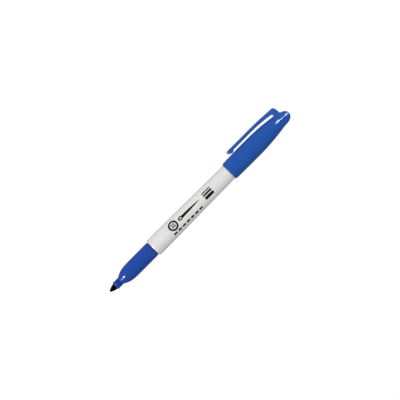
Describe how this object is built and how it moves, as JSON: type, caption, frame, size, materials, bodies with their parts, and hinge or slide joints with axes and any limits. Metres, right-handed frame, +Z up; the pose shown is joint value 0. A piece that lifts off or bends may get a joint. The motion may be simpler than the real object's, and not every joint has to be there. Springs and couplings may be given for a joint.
{
  "type": "fabric marking pen",
  "caption": "Slim fine-point fabric marking pen with a tapered barrel, a stepped grip, a felt nib and its clip cap posted on the rear end.",
  "frame": {"origin": "on the pen's axis at the barrel's front face, where the grip section comes out", "axes": "+X along the pen's axis from the nib to the cap's nose, +Z up as the pen lies on a table, so the clip points to +Y and 28.6 degrees down"},
  "size_m": [0.1456, 0.0148, 0.012],
  "materials": {
    "barrel_plastic": "light grey, satin moulded",
    "section_plastic": "blue, satin gloss moulded",
    "nib_fibre": "bonded felt soaked with dark ink",
    "reservoir_fibre": "fibre bundle soaked with ink",
    "reservoir_wrap": "thin film",
    "cap_plastic": "blue, gloss moulded",
    "liner_plastic": "blue, soft moulded",
    "clip_plastic": "blue, gloss moulded"
  },
  "bodies": {
    "pen": {"barrel": "barrel_plastic", "grip_section": "section_plastic", "nib": "nib_fibre", "reservoir_core": "reservoir_fibre", "reservoir_film": "reservoir_wrap"},
    "liner": {"cap_liner": "liner_plastic"},
    "cap": {"cap_shell": "cap_plastic"},
    "clip": {"clip": "clip_plastic"}
  },
  "joints": [
    {"name": "cap_slide", "type": "slide", "parent": "pen", "child": "liner", "axis": [1, 0, 0], "range_m": [0, 0.032]},
    {"name": "cap_twist", "type": "hinge", "parent": "liner", "child": "cap", "pos_m": [0.09, 0, 0], "axis": [1, 0, 0], "continuous": true},
    {"name": "clip_flex", "type": "hinge", "parent": "cap", "child": "clip", "pos_m": [0.099, 0.00652, -0.00356], "axis": [0, -0.4793, -0.8776], "range_deg": [0, 5], "stiffness_Nm_per_rad": 0.4}
  ]
}
